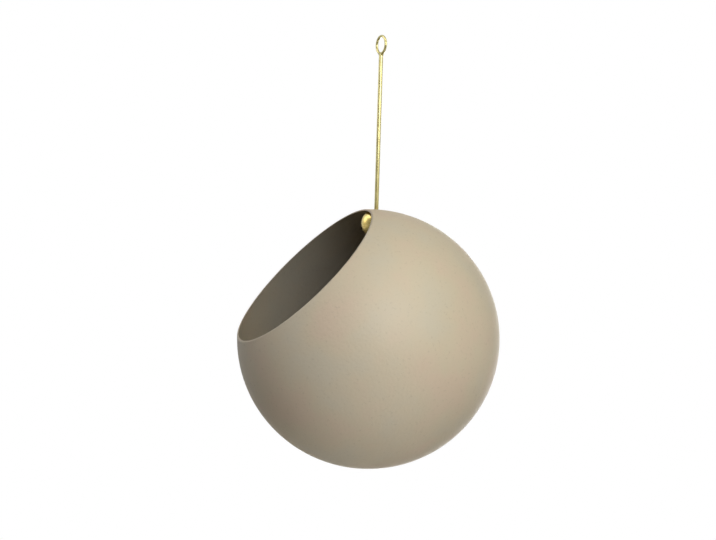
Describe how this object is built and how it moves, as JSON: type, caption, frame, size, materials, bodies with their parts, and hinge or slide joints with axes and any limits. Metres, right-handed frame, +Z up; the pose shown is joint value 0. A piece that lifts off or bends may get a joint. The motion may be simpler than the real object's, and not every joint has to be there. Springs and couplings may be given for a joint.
{
  "type": "globe hanging planter",
  "caption": "Round steel planter with a slanted open mouth, hung from a straight brass rod with an eye on top and a ball nut inside.",
  "frame": {"origin": "centre of the hanging eye at the top of the rod", "axes": "+Z up along the rod; the mouth of the globe faces -Y and up; +X is to the side"},
  "size_m": [0.211, 0.2109, 0.3493],
  "materials": {
    "coated_steel": "matt taupe powder coat, fine texture",
    "brass": "polished",
    "rubber": "matt black"
  },
  "bodies": {
    "hanger": {"hanging_rod": "brass", "hanging_eye": "brass", "ball_nut": "brass", "swivel_washer": "rubber"},
    "globe": {"globe_shell": "coated_steel"}
  },
  "joints": [
    {"name": "globe_swivel", "type": "hinge", "parent": "hanger", "child": "globe", "pos_m": [0, 0, -0.1335], "axis": [0, 0, 1], "continuous": true}
  ]
}
